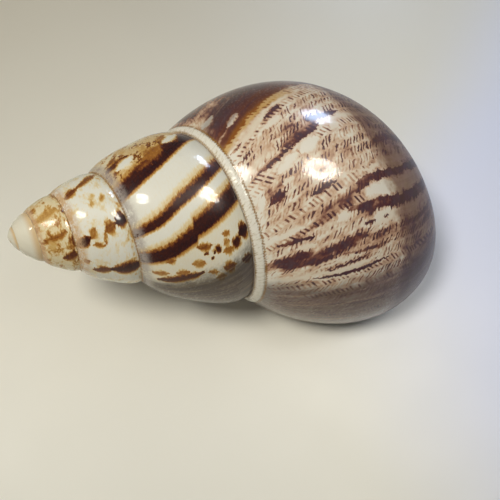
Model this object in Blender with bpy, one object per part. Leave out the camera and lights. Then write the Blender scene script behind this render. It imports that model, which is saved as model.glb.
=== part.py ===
# Giant african land snail shell, lying on its aperture.
# One closed body: the outside of every whorl, the lip, and the hollow chamber
# that winds up from the aperture, with the columella at its middle.
# A place on the shell is given by turn, which grows with age and goes once round
# the axis for each whole number, and by across, which is 0 at a whorl's upper
# suture, 1 at its lower suture and 2 where its base meets the axis.

import bpy
import numpy as np
from math import asin, atan2, cos, hypot, pi, radians, sin

MM = 0.001

# The suture's spiral at each whole turn, from the apex on, millimetres
FIRST_TURN = -1
SUTURE_RADIUS = [1.2, 3.0, 6.3, 9.8, 14.5, 23.6, 35.6, 53.5]
SUTURE_DEPTH = [0.5, 1.6, 6.0, 13.6, 26.2, 52.0, 92.6, 160.0]
LIP_TURN = 4.375

# A whorl's outline between its sutures is part of an ellipse, in fractions of
# the straight line between them. Each earlier whorl is a little flatter.
ELLIPSE_LONG = 0.86
ELLIPSE_SHORT = 0.59
ELLIPSE_TILT = radians(14.2)
ROUNDEST_TURN = 4.1
FLATTER_EACH_TURN = 0.88

# The base of a whorl is one curve from the lower suture to the axis
BASE_SHOULDER = 0.54
BASE_HOLLOW = 0.28
BASE_TURN_IN = radians(30)
BASE_REACH = 0.36
YOUNG_REACH = 0.79
YOUNG_TURNS = (3.35, 4.1)
LIP_REACH = 0.05
LIP_TURNS = (4.05, 4.45)

# Turns by which the lip trails at the lower suture, so that it lies in one plane
LIP_TRAIL = 0.15
TRAIL_FADE = 0.5

# Wall and columella as fractions of the suture's radius
WALL = 0.057
COLUMELLA = 0.15
CORNER_ACROSS = 0.06
BASE_START = 1.08
COLUMELLA_ACROSS = 1.94

# Facets
ROWS_PER_TURN = 40
SPIRE_COLUMNS = 6
BASE_COLUMNS = 9
CHAMBER_ROWS_PER_TURN = 30
COLUMELLA_COLUMNS = 4
CHAMBER_TURNS = 3.6
SAMPLES = 160

# How it lies: turned about its own axis, then tipped with the apex raised
ROLL = radians(27.81)
APEX_RAISED = radians(18.7)

GROUND_COLOUR = (0.72, 0.60, 0.46, 1.0)
GLOSS_ROUGHNESS = 0.2


def spline(values, turn):
    """Catmull-Rom curve through one value for each whole turn."""
    last = len(values) - 1
    place = min(max(turn - FIRST_TURN, 0.0), last - 1e-9)
    k = int(place)
    f = place - k
    here, there = values[k], values[k + 1]
    before = values[k - 1] if k > 0 else 2 * here - there
    after = values[k + 2] if k + 2 <= last else 2 * there - here
    slope_here, slope_there = (there - before) / 2, (after - here) / 2
    return (here * (1 + 2 * f) * (1 - f) ** 2 + slope_here * f * (1 - f) ** 2
            + there * f * f * (3 - 2 * f) - slope_there * f * f * (1 - f))


def suture(turn):
    """Radius and depth below the apex of the suture."""
    return np.array([spline(SUTURE_RADIUS, turn), spline(SUTURE_DEPTH, turn)])


def between(turn, turns):
    """0 before the first turn, 1 after the second, smooth between."""
    f = min(max((turn - turns[0]) / (turns[1] - turns[0]), 0.0), 1.0)
    return f * f * (3 - 2 * f)


def trail(across):
    """Turns by which the lip trails here: none at the suture and the columella."""
    if across < 1:
        return LIP_TRAIL * (1 - (1 - across) ** 2)
    return LIP_TRAIL * (1 - ((across - 1) / (COLUMELLA_ACROSS - 1)) ** 4)


def ellipse_angles():
    """The ellipse's angles at the upper and the lower suture."""
    along = cos(ELLIPSE_TILT) / ELLIPSE_LONG
    up = -sin(ELLIPSE_TILT) / ELLIPSE_SHORT
    middle = atan2(up, along) + pi / 2
    half = asin(hypot(along, up) / 2)
    return middle + half, middle - half


UPPER_ANGLE, LOWER_ANGLE = ellipse_angles()


def ellipse(angle):
    """Places along and out from the line between the sutures, as fractions."""
    long = ELLIPSE_LONG * (np.cos(angle) - cos(UPPER_ANGLE))
    short = ELLIPSE_SHORT * (np.sin(angle) - sin(UPPER_ANGLE))
    return np.stack([long * cos(ELLIPSE_TILT) - short * sin(ELLIPSE_TILT),
                     long * sin(ELLIPSE_TILT) + short * cos(ELLIPSE_TILT)], -1)


def outline(turn, across):
    """Radius and depth of the outside of a whorl, for an array of places across."""
    upper, lower = suture(turn), suture(turn + 1)
    line = lower - upper
    length = max(hypot(*line), 1e-9)
    out = np.array([line[1], -line[0]])
    round_by = FLATTER_EACH_TURN ** (ROUNDEST_TURN - min(turn, ROUNDEST_TURN))
    frame = np.array([line, round_by * out])
    angle = UPPER_ANGLE + (LOWER_ANGLE - UPPER_ANGLE) * np.minimum(across, 1.0)
    side = upper + ellipse(angle) @ frame

    heading = np.array([-ELLIPSE_LONG * sin(LOWER_ANGLE), ELLIPSE_SHORT * cos(LOWER_ANGLE)])
    heading = -np.array([heading[0] * cos(ELLIPSE_TILT) - heading[1] * sin(ELLIPSE_TILT),
                         heading[0] * sin(ELLIPSE_TILT) + heading[1] * cos(ELLIPSE_TILT)])
    heading = heading @ frame
    heading = heading / hypot(*heading)
    reach = (BASE_REACH + (YOUNG_REACH - BASE_REACH) * (1 - between(turn, YOUNG_TURNS))
             + (LIP_REACH - BASE_REACH) * between(turn, LIP_TURNS))
    end = np.array([0.0, lower[1] + reach * length])
    shoulder = lower + BASE_SHOULDER * length * heading
    hollow = end + BASE_HOLLOW * length * np.array([cos(BASE_TURN_IN), sin(BASE_TURN_IN)])
    f = np.clip(across - 1, 0, 1)[:, None]
    base = ((1 - f) ** 3 * lower + 3 * f * (1 - f) ** 2 * shoulder
            + 3 * f * f * (1 - f) * hollow + f ** 3 * end)
    return np.where(across[:, None] > 1, base, side)


def inset(turn, across):
    """The chamber's side of the same wall."""
    curve = outline(turn, across)
    along = np.gradient(curve, axis=0)
    along = along / np.maximum(np.hypot(along[:, 0], along[:, 1]), 1e-9)[:, None]
    out = np.stack([along[:, 1], -along[:, 0]], -1)
    return curve - WALL * suture(turn)[0] * out


def crossing(first, second):
    """Positions, counted in segments, where the first curve meets the second."""
    p, r = first[:-1, None], np.diff(first, axis=0)[:, None]
    q, s = second[None, :-1], np.diff(second, axis=0)[None]
    cross = r[..., 0] * s[..., 1] - r[..., 1] * s[..., 0]
    cross = np.where(abs(cross) < 1e-12, 1e-12, cross)
    gap = q - p
    t = (gap[..., 0] * s[..., 1] - gap[..., 1] * s[..., 0]) / cross
    u = (gap[..., 0] * r[..., 1] - gap[..., 1] * r[..., 0]) / cross
    hits = np.argwhere((t >= 0) & (t < 1) & (u >= 0) & (u < 1))
    i, j = hits[0]
    return i + t[i, j], j + u[i, j]


def reaches(curve, radius):
    """Position where a curve that ends on the axis comes down to this radius."""
    k = np.nonzero(curve[:, 0] > radius)[0][-1]
    return k + (curve[k, 0] - radius) / (curve[k, 0] - curve[k + 1, 0])


def at(curve, position):
    k = min(int(position), len(curve) - 2)
    return curve[k] + (curve[k + 1] - curve[k]) * (position - k)


WHOLE = np.linspace(0, 2, 2 * SAMPLES + 1)
section_cache = {}


def section(turn):
    """Curves and corners of the chamber in one half plane through the axis."""
    key = round(turn, 9)
    if key not in section_cache:
        outer = inset(turn, WHOLE)
        inner = outline(turn - 1, WHOLE)[SAMPLES:]
        top_outer, top_inner = crossing(outer[:SAMPLES], inner)
        pillar = COLUMELLA * suture(turn)[0]
        section_cache[key] = (outer, inner, top_outer, top_inner,
                              reaches(outer, pillar), reaches(inner, pillar))
    return section_cache[key]


def outer_point(turn, across):
    outer, _, top, _, foot, _ = section(turn)
    fraction = (across - CORNER_ACROSS) / (COLUMELLA_ACROSS - CORNER_ACROSS)
    return at(outer, top + (foot - top) * fraction)


def parietal_point(turn, fraction):
    _, inner, _, top, _, foot = section(turn)
    return at(inner, top + (foot - top) * fraction)


def base_point(turn, fraction):
    """The same places on the base of the last turn, which no whorl covers."""
    curve = outline(turn, WHOLE)[SAMPLES:]
    top = (BASE_START - 1) * SAMPLES
    foot = reaches(curve, COLUMELLA * suture(turn + 1)[0])
    return at(curve, top + (foot - top) * fraction)


def columella_point(turn, fraction):
    low, high = outer_point(turn, COLUMELLA_ACROSS), parietal_point(turn, 1)
    return low + (high - low) * fraction


SPIRE_PLACES = np.linspace(0, 1, SPIRE_COLUMNS + 1)
BASE_FRACTIONS = np.linspace(0, 1, BASE_COLUMNS - 1)
BASE_PLACES = BASE_START + (COLUMELLA_ACROSS - BASE_START) * BASE_FRACTIONS


class Mesh:
    def __init__(self):
        self.points = []
        self.faces = []

    def add(self, turn, place):
        angle = 2 * pi * turn
        self.points.append((place[0] * cos(angle), -place[0] * sin(angle), -place[1]))
        return len(self.points) - 1

    def face(self, *corners):
        if len(set(corners)) > 2:
            loop = [c for k, c in enumerate(corners) if c != corners[k - 1]]
            self.faces.append(loop)

    def bridge(self, left, right, flip=False):
        """Faces between two rows that may differ in how many points they have."""
        i = j = 0
        while i < len(left) - 1 or j < len(right) - 1:
            ahead_left = (i + 1) / max(len(left) - 1, 1)
            ahead_right = (j + 1) / max(len(right) - 1, 1)
            both = abs(ahead_left - ahead_right) < 1e-6
            step_left = i < len(left) - 1 and (both or ahead_left < ahead_right or j == len(right) - 1)
            step_right = j < len(right) - 1 and (both or not step_left)
            corners = [left[i]]
            if step_left:
                corners.append(left[i + 1])
            if step_right:
                corners.append(right[j + 1])
            corners.append(right[j])
            self.face(*(reversed(corners) if flip else corners))
            i += step_left
            j += step_right


def outer_turn(loop_turn, across):
    """Turn of a point on the chamber's outer wall."""
    near_lip = between(loop_turn, (LIP_TURN - TRAIL_FADE, LIP_TURN))
    return loop_turn - near_lip * trail(across)


def wall_turn(loop_turn, fraction):
    """Turn of a point on the parietal wall, from suture to columella."""
    near_lip = between(loop_turn, (LIP_TURN - TRAIL_FADE, LIP_TURN))
    return loop_turn - near_lip * trail(CORNER_ACROSS) * (1 - fraction)


def build_outside(mesh):
    """The spire's rows, then the last turn's rows with their base down to the axis."""
    lag = round(LIP_TRAIL * ROWS_PER_TURN)
    turn_rows = ROWS_PER_TURN - lag
    first = round((FIRST_TURN - 1) * ROWS_PER_TURN) + lag
    last = round(LIP_TURN * ROWS_PER_TURN)
    parietal = last - turn_rows
    seam_start = round((FIRST_TURN + 0.2) * ROWS_PER_TURN)
    apex = mesh.add(0, (0, 0))

    seam = {}
    for row in range(first, last + 1):
        turn = row / ROWS_PER_TURN
        seam[row] = mesh.add(turn, suture(turn)) if row >= seam_start else apex

    rows = {}
    base = {}
    for row in range(first, last + 1):
        turn = row / ROWS_PER_TURN
        middle = []
        if turn - LIP_TRAIL > FIRST_TURN:
            for a in SPIRE_PLACES[1:-1]:
                here = turn - trail(a)
                middle.append(mesh.add(here, outline(here, np.array([a]))[0]))
        foot_turn = turn - LIP_TRAIL
        if row <= parietal:
            foot = seam[row + turn_rows]
        else:
            foot = mesh.add(foot_turn, suture(foot_turn + 1))
        rows[row] = [seam[row]] + middle + [foot]
        if row >= parietal:
            age = (row - parietal) / turn_rows
            base[row] = [foot]
            for a, f in zip(BASE_PLACES, BASE_FRACTIONS):
                young = wall_turn(foot_turn, f)
                here = young + (turn - trail(a) - young) * age
                base[row].append(mesh.add(here, base_point(here, f)))
            base[row].append(mesh.add(here, outline(here, np.array([2.0]))[0]))
    for row in range(first, last):
        mesh.bridge(rows[row + 1], rows[row])
        if row >= parietal:
            mesh.bridge(base[row + 1], base[row])
    lip = rows[last] + base[last][1:]
    axis = [base[row][-1] for row in range(last, parietal - 1, -1)]
    return lip, base[parietal][1:-1], axis


def build_chamber(mesh, parietal_edge):
    """Closed loops from the aperture back up the spiral, then a rounded end."""
    pillar_fractions = np.linspace(0, 1, COLUMELLA_COLUMNS + 1)
    count = round(CHAMBER_TURNS * CHAMBER_ROWS_PER_TURN)
    loops = []
    for step in range(count + 1):
        turn = LIP_TURN - step / CHAMBER_ROWS_PER_TURN
        outer, pillar, wall = [], [], []
        for a in [*SPIRE_PLACES[1:], *BASE_PLACES]:
            here = outer_turn(turn, a)
            outer.append(mesh.add(here, outer_point(here, a)))
        for f in pillar_fractions[1:-1]:
            here = outer_turn(turn, COLUMELLA_ACROSS)
            pillar.append(mesh.add(here, columella_point(here, f)))
        if step == 0:
            wall = list(parietal_edge)
        else:
            for f in BASE_FRACTIONS:
                here = wall_turn(turn, f)
                wall.append(mesh.add(here, parietal_point(here, f)))
        loops.append([wall[0]] + outer + pillar + wall[::-1])
        if step == 0:
            rim = [wall[0]] + outer
            pillar_edge = [outer[-1]] + pillar + [wall[-1]]
    for near, far in zip(loops, loops[1:]):
        mesh.bridge(far, near)
    end = loops[-1][:-1]
    middle = np.mean([mesh.points[k] for k in end], axis=0)
    mesh.points.append(tuple(middle))
    centre = len(mesh.points) - 1
    for k in range(len(end)):
        mesh.face(centre, end[k], end[k - 1])
    return rim, pillar_edge


def lying(points):
    """Turned to lie on the aperture: apex toward -X, standing on z = 0, centred."""
    p = np.array(points)
    turned = np.stack([-p[:, 2], p[:, 1], p[:, 0]], -1)
    y = turned[:, 1] * cos(ROLL) - turned[:, 2] * sin(ROLL)
    z = turned[:, 1] * sin(ROLL) + turned[:, 2] * cos(ROLL)
    x = turned[:, 0] * cos(APEX_RAISED) + z * sin(APEX_RAISED)
    z = -turned[:, 0] * sin(APEX_RAISED) + z * cos(APEX_RAISED)
    p = np.stack([x, y, z], -1)
    low, high = p.min(0), p.max(0)
    return (p - [(low[0] + high[0]) / 2, (low[1] + high[1]) / 2, low[2]]) * MM


def shell_material():
    material = bpy.data.materials.new("glossy_shell")
    material.use_nodes = True
    surface = material.node_tree.nodes["Principled BSDF"]
    surface.inputs["Base Color"].default_value = GROUND_COLOUR
    surface.inputs["Roughness"].default_value = GLOSS_ROUGHNESS
    surface.inputs["Metallic"].default_value = 0.0
    material.diffuse_color = GROUND_COLOUR
    return material


def build_shell():
    mesh = Mesh()
    lip, parietal_edge, axis = build_outside(mesh)
    rim, pillar_edge = build_chamber(mesh, parietal_edge)
    mesh.bridge(rim, lip[:-1])
    mesh.face(rim[-1], lip[-1], lip[-2])
    mesh.bridge(pillar_edge, axis)
    data = bpy.data.meshes.new("shell")
    data.from_pydata([tuple(p) for p in lying(mesh.points)], [], mesh.faces)
    data.validate()
    data.polygons.foreach_set("use_smooth", [True] * len(data.polygons))
    data.materials.append(shell_material())
    shell = bpy.data.objects.new("shell", data)
    bpy.context.scene.collection.objects.link(shell)
    return shell


def main():
    for thing in list(bpy.data.objects):
        bpy.data.objects.remove(thing)
    build_shell()


main()
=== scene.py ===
# Giant african land snail shell lying on its mouth, on a pale table.
# The whorls are grown by Geometry Nodes from one spiral, and the colours are painted
# by nodes that read where a point is along the growth and across the whorl.

from math import asin, atan2, cos, exp, hypot, pi, radians, sin
from types import SimpleNamespace

import bpy
from mathutils import Matrix, Vector


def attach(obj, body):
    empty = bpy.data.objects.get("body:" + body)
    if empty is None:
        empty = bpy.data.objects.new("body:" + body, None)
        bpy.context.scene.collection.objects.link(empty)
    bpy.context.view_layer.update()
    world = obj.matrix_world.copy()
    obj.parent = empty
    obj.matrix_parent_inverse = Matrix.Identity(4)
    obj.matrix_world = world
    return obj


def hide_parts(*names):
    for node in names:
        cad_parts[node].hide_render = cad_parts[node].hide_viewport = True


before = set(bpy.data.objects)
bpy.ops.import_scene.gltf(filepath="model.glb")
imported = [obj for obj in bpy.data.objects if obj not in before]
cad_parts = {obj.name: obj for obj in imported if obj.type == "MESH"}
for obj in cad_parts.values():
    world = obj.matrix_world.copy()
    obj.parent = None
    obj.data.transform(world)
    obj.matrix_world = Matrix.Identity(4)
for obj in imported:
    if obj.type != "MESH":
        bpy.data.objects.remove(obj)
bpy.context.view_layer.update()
mm = 0.001


# A dictionary whose values can also be read as settings.name
class Settings(dict):
    __getattr__ = dict.__getitem__


# A socket that can be added and multiplied, so that node trees read as sums
class Field:
    def __init__(self, tree, socket):
        self.tree = tree
        self.socket = socket

    def __add__(self, other):
        return calc("ADD", self, other)

    def __sub__(self, other):
        return calc("SUBTRACT", self, other)

    def __rsub__(self, other):
        return calc("SUBTRACT", other, self)

    def __mul__(self, other):
        return calc("MULTIPLY", self, other)

    def __truediv__(self, other):
        return calc("DIVIDE", self, other)

    __radd__, __rmul__ = __add__, __mul__


def plug(tree, slot, value):
    if isinstance(value, Field):
        tree.links.new(value.socket, slot)
    else:
        slot.default_value = value


# a new node with its settings and inputs, as the output that is wanted
def node(tree, kind, inputs=(), output=0, **settings):
    made = tree.nodes.new(kind)
    for name, value in settings.items():
        setattr(made, name, value)
    for slot, value in inputs.items() if isinstance(inputs, dict) else enumerate(inputs):
        if value is not None:
            plug(tree, made.inputs[slot], value)
    return Field(tree, made.outputs[output])


def calc(operation, *values):
    tree = next(value.tree for value in values if isinstance(value, Field))
    return node(tree, "ShaderNodeMath", values, operation=operation)


def lesser(a, b):
    return calc("MINIMUM", a, b)


def greater(a, b):
    return calc("MAXIMUM", a, b)


def limit(value, low=0.0, high=1.0):
    return lesser(greater(value, low), high)


def mixNumber(a, b, share):
    return a + (b - a) * share


def lengthOf(x, y):
    return calc("SQRT", x * x + y * y)


def ramp(value, low, high, smooth=True):   # 0 at low, 1 at high
    inputs = {"Value": value, "From Min": low, "From Max": high}
    kind = "SMOOTHSTEP" if smooth else "LINEAR"
    return node(value.tree, "ShaderNodeMapRange", inputs, "Result", interpolation_type=kind)


def falling(value, low, high):   # 1 at low, 0 at high
    return 1.0 - ramp(value, low, high)


# 1 inside a zone: it rises over the first two limits, and falls over any other two
def zone(value, limits):
    inside = ramp(value, *limits[:2])
    return inside if len(limits) == 2 else inside * falling(value, *limits[2:])


def vector(tree, x=0.0, y=0.0, z=0.0):
    return node(tree, "ShaderNodeCombineXYZ", (x, y, z))


def parts(field):
    split = node(field.tree, "ShaderNodeSeparateXYZ", [field]).socket.node
    return [Field(field.tree, output) for output in split.outputs]


def vectors(operation, a, b=None, scale=None, output=0):
    inputs = {0: a, 1: b, "Scale": scale}
    return node(a.tree, "ShaderNodeVectorMath", inputs, output, operation=operation)


def noise(place, scale, detail=2.0, roughness=0.5):
    inputs = {"Vector": place, "Scale": scale, "Detail": detail, "Roughness": roughness}
    return node(place.tree, "ShaderNodeTexNoise", inputs)


def stretched(x, y, along, across, *kind):   # noise at a place that is stretched first
    return noise(vector(x.tree, x * along, y * across), *kind)


def centred(cloud, middle=0.5):   # noise about 0, mostly within 0.6
    return (cloud - middle) * 2.5


def mixColour(a, b, share):
    a, b = ((*colour, 1.0) if isinstance(colour, tuple) else colour for colour in (a, b))
    inputs = {"Factor": share, "A": a, "B": b}
    return node(share.tree, "ShaderNodeMix", inputs, "Result", data_type="RGBA")


# lays colours over the first one, each with its share
def layered(colour, *layers):
    for layer, share in layers:
        colour = mixColour(colour, layer, share)
    return colour


def bump(surface, height, strength, depth, slot="Normal"):
    inputs = {"Strength": strength, "Distance": depth * mm, "Height": height}
    plug(height.tree, surface.inputs[slot], node(height.tree, "ShaderNodeBump", inputs))


def newMaterial(name):
    material = bpy.data.materials.new(name)
    material.use_nodes = True
    return material, material.node_tree, material.node_tree.nodes["Principled BSDF"]


def addObject(name, data):
    thing = bpy.data.objects.new(name, data)
    bpy.context.scene.collection.objects.link(thing)
    return thing


# a Geometry Nodes tree with named inputs, from a piece's own values for them
def newTree(name, inputs):
    tree = bpy.data.node_groups.new(name, "GeometryNodeTree")
    kinds = {int: "NodeSocketInt", float: "NodeSocketFloat"}
    for label, value in inputs.items():
        tree.interface.new_socket(label, in_out="INPUT", socket_type=kinds[type(value)])
    tree.interface.new_socket("Material", in_out="INPUT", socket_type="NodeSocketMaterial")
    tree.interface.new_socket("Geometry", in_out="OUTPUT", socket_type="NodeSocketGeometry")
    start = tree.nodes.new("NodeGroupInput")
    return tree, {output.name: Field(tree, output) for output in start.outputs if output.name}


# The shell's form. Sizes are millimetres, and a whorl's outline is in fractions of the
# line between its two sutures.
shellForm = Settings(
    inputs={
        "Rows along the growth": 520, "Columns across a whorl": 72, "Lip turn": 4.375,
        "Lip trail": 0.15, "Wall": 0.057, "Growth ridges": 0.12},
    columnsAboveSuture=50, lipRows=6, crowding=0.62, seam=0.002,
    firstTurn=-1, beginTurns=0.2,
    sutureRadius=[1.2, 3.0, 6.3, 9.8, 14.5, 23.6, 35.6, 53.5],   # at whole turns
    sutureDepth=[0.5, 1.6, 6.0, 13.6, 26.2, 52.0, 92.6, 160.0],  # below the apex
    ellipseLong=0.86, ellipseShort=0.59, ellipseTilt=radians(14.2),
    roundestTurn=4.1, flatterEachTurn=0.88,
    squarer=0.14, roundFrom=(3.1, 3.5),
    shoulder=0.54, hollow=0.28, turnIn=radians(30),
    reach=0.36, youngReach=0.79, youngTurns=(3.35, 4.1),
    lipReach=0.05, lipTurns=(4.05, 4.45),
    trailFade=0.5, trailFoot=0.94, lipThin=0.5, thinTurns=0.09, lipRound=0.0022,
    wallFrom=(0.0, 0.05), wallTo=(1.8, 2.0),
    # the ridges' noise, stretched along and across, and where they are
    ridges=(34.0, 1.3, 1.0, 3.0, 0.55), ridgeTurns=(0.5, 3.5), ridgesAcross=(0.0, 0.12, 1.75, 1.95),
    # how far growth lines sweep back, in turns: on the body, on its base, and on the spire
    bodyLag=0.09, baseLag=0.05, spireLag=0.008, spireLagEachTurn=0.035, lagTurns=(3.35, 3.6),
    roll=radians(27.81), apexRaised=radians(18.7), apexPlace=(-57.68, 3.8756, 48.5472),
)


def ellipseEnds(form):
    along = cos(form.ellipseTilt) / form.ellipseLong
    up = -sin(form.ellipseTilt) / form.ellipseShort
    middle = atan2(up, along) + pi / 2
    half = asin(hypot(along, up) / 2)
    return middle + half, middle - half


# radius and depth of the suture: a Catmull-Rom curve through its values at whole turns
def sutureAt(turn, form):
    place = limit(turn - form.firstTurn, 0.0, len(form.sutureRadius) - 1.0)
    tables = form.sutureRadius, form.sutureDepth
    tables = [[2 * table[0] - table[1], *table, 2 * table[-1] - table[-2]] for table in tables]
    found = [0.0, 0.0]
    for k, values in enumerate(zip(*tables), -1):
        away = calc("ABSOLUTE", place - float(k))
        near, far = lesser(away, 1.0), limit(away, 1.0, 2.0)
        weight = (1.5 * near - 2.5) * near * near + 1.0 + (((-0.5 * far + 2.5) * far - 4.0) * far + 2.0)
        found = [weight * value + before for value, before in zip(values, found)]
    return found


# radius and depth of a whorl's outside: across is 0 and 1 at its sutures, 2 at the axis
def whorlOutline(turn, across, form, sutures=None):
    upper, lower = sutures or (sutureAt(turn, form), sutureAt(turn + 1.0, form))
    begun = limit((turn - form.firstTurn) / form.beginTurns)
    upper = [part * begun for part in upper]
    line = [lowerPart - upperPart for upperPart, lowerPart in zip(upper, lower)]
    length = lengthOf(*line)
    younger = form.roundestTurn - lesser(turn, form.roundestTurn)
    flatter = calc("POWER", form.flatterEachTurn, younger)
    outwards = line[1] * flatter, -1.0 * line[0] * flatter

    # the side is part of an ellipse between the sutures
    upperAngle, lowerAngle = ellipseEnds(form)
    tiltCos, tiltSin = cos(form.ellipseTilt), sin(form.ellipseTilt)
    long, short = form.ellipseLong, form.ellipseShort
    angle = upperAngle + (lowerAngle - upperAngle) * lesser(across, 1.0)
    alongPart = long * (calc("COSINE", angle) - cos(upperAngle))
    outPart = short * (calc("SINE", angle) - sin(upperAngle))
    along = alongPart * tiltCos - outPart * tiltSin
    out = alongPart * tiltSin + outPart * tiltCos
    fromMiddle = calc("ABSOLUTE", 2.0 * lesser(across, 1.0) - 1.0)
    squarer = form.squarer * falling(turn, *form.roundFrom)
    out = out + squarer * fromMiddle * fromMiddle * (1.0 - fromMiddle)

    # the base is one curve that goes on from the side and ends on the axis
    leaveLong, leaveShort = long * sin(lowerAngle), -short * cos(lowerAngle)
    leaveAlong = leaveLong * tiltCos - leaveShort * tiltSin
    leaveOut = leaveLong * tiltSin + leaveShort * tiltCos
    leave = [line[k] * leaveAlong + outwards[k] * leaveOut for k in (0, 1)]
    leaveLength = lengthOf(*leave)
    reach = mixNumber(form.reach, form.youngReach, falling(turn, *form.youngTurns))
    reach = reach + (form.lipReach - form.reach) * ramp(turn, *form.lipTurns)
    end = 0.0, lower[1] + reach * length
    shoulder = [lower[k] + form.shoulder * length * leave[k] / leaveLength for k in (0, 1)]
    inwards = form.hollow * cos(form.turnIn), form.hollow * sin(form.turnIn)
    hollow = [inwards[k] * length + end[k] for k in (0, 1)]
    down = limit(across - 1.0)
    up = 1.0 - down
    weights = up * up * up, 3.0 * down * up * up, 3.0 * down * down * up, down * down * down

    def outline(k):
        side = upper[k] + along * line[k] + out * outwards[k]
        points = lower, shoulder, hollow, end
        base = sum(weight * point[k] for weight, point in zip(weights, points))
        return side + base - lower[k]

    return outline(0), outline(1)


# from the shell's own axes, apex up, to how it lies on its mouth
def shellPlacing(form):
    turned = (Matrix.Rotation(form.apexRaised, 4, "Y") @ Matrix.Rotation(form.roll, 4, "X")
              @ Matrix.Rotation(-pi / 2, 4, "Y"))
    return Matrix.Translation(Vector(form.apexPlace) * mm) @ turned


# how far a growth line has swept back at this place across the whorl
def growthLag(turn, across, form):
    back = 1.0 - lesser(across, 1.0)
    body = form.bodyLag * (1.0 - back * back) + form.baseLag * greater(across - 1.0, 0.0)
    spire = across * (turn * form.spireLagEachTurn + form.spireLag)
    return mixNumber(spire, body, zone(turn, form.lagTurns))


# stores values on the points, for later nodes and for the material
def remember(geometry, **values):
    kind, settings = "GeometryNodeStoreNamedAttribute", dict(data_type="FLOAT", domain="POINT")
    for name, value in values.items():
        inputs = {"Geometry": geometry, "Name": name, "Value": value}
        geometry = node(geometry.tree, kind, inputs, **settings)
    return geometry


def remembered(tree, name):
    return node(tree, "GeometryNodeInputNamedAttribute", {"Name": name}, data_type="FLOAT")


def move(geometry, position=None, offset=None):
    inputs = {"Geometry": geometry, "Position": position, "Offset": offset}
    return node(geometry.tree, "GeometryNodeSetPosition", inputs)


def plainGrid(tree, rows, columns):   # one unit wide, with its middle at 0
    return node(tree, "GeometryNodeMeshGrid", (1.0, 1.0, rows, columns))


def positions(tree):
    return parts(node(tree, "GeometryNodeInputPosition"))


def pointAt(radius, depth, turn):   # with the axis upright and the apex at the top
    angle = turn * (2 * pi)
    x, y = radius * calc("COSINE", angle) * mm, radius * calc("SINE", angle) * -mm
    return vector(turn.tree, x, y, depth * -mm)


# sews points nearer than the seam together, and ends the tree with one smooth painted mesh
def finishTree(geometry, material, seam=None):
    tree = geometry.tree
    if seam:
        inputs = {"Geometry": geometry, "Distance": seam * mm}
        geometry = node(tree, "GeometryNodeMergeByDistance", inputs)
    for kind in ("GeometryNodeSetShadeSmooth", "GeometryNodeRealizeInstances"):
        geometry = node(tree, kind, [geometry])
    geometry = node(tree, "GeometryNodeSetMaterial", {"Geometry": geometry, "Material": material})
    plug(tree, tree.nodes.new("NodeGroupOutput").inputs[0], geometry)


def growShellTree(form):
    tree, given = newTree("growShell", form.inputs)
    rowCount, columnCount = given["Rows along the growth"], given["Columns across a whorl"]
    geometry = plainGrid(tree, rowCount, columnCount)
    x, y = positions(tree)[:2]
    row = calc("ROUND", (x + 0.5) * (rowCount - 1.0))
    column = calc("ROUND", (y + 0.5) * (columnCount - 1.0))

    # rows get closer towards the lip, and the last few go round its edge
    mainRows = rowCount - 1.0 - form.lipRows
    lipAngle = limit((row - mainRows) / form.lipRows) * (pi / 2)
    start = form.firstTurn - 1.0
    lastMain = given["Lip turn"] - form.lipRound
    rowTurn = start + (lastMain - start) * calc("POWER", limit(row / mainRows), form.crowding)
    rowTurn = rowTurn + form.lipRound * calc("SINE", lipAngle)
    above = float(form.columnsAboveSuture)
    across = lesser(column / above, 1.0) + greater(column - above, 0.0) / (columnCount - 1.0 - above)
    # the lip trails behind in the middle of the whorl
    back = 1.0 - lesser(across, 1.0)
    below = limit((across - 1.0) / form.trailFoot)
    trail = given["Lip trail"] * (1.0 - back * back - below * below * below * below)
    lipTurn = form.inputs["Lip turn"]
    turn = rowTurn - trail * ramp(rowTurn, lipTurn - form.trailFade, lipTurn)
    place = pointAt(*whorlOutline(turn, across, form), turn)
    geometry = remember(geometry, turn=turn, across=across, lipAngle=lipAngle, rowTurn=rowTurn)
    outside = move(geometry, position=place)

    # faint growth ridges stand out along the old lips
    turnHere, acrossHere = remembered(tree, "turn"), remembered(tree, "across")
    normal = node(tree, "GeometryNodeInputNormal")
    growth = turnHere + growthLag(turnHere, acrossHere, form)
    ridges = stretched(growth, acrossHere, *form.ridges) - 0.5
    ridges = ridges * zone(turnHere, form.ridgeTurns) * zone(acrossHere, form.ridgesAcross)
    ridges = ridges * given["Growth ridges"] * mm
    outside = move(outside, offset=vectors("SCALE", normal, scale=ridges))

    # the wall has its thickness inwards, and both faces meet round the lip
    sutureRadius = sutureAt(turnHere, form)[0]
    toLip = given["Lip turn"] - remembered(tree, "rowTurn")
    thinner = mixNumber(form.lipThin, 1.0, ramp(toLip, 0.0, form.thinTurns))
    full = given["Wall"] * sutureRadius * thinner
    full = full * ramp(acrossHere, *form.wallFrom, smooth=False) * falling(acrossHere, *form.wallTo)
    full = full * ramp(turnHere, start, form.firstTurn)
    atLip = greater(0.0, calc("COSINE", remembered(tree, "lipAngle")))
    outer, inner = (
        move(remember(outside, inside=inside), offset=vectors(
            "SCALE", normal, scale=full * share * (-0.5 * mm)))
        for inside, share in ((0.0, 1.0 - atLip), (1.0, 1.0 + atLip)))
    both = node(tree, "GeometryNodeJoinGeometry", [node(tree, "GeometryNodeFlipFaces", [inner])])
    plug(tree, both.socket.node.inputs[0], outer)
    finishTree(both, given["Material"], form.seam)
    return tree


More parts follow.
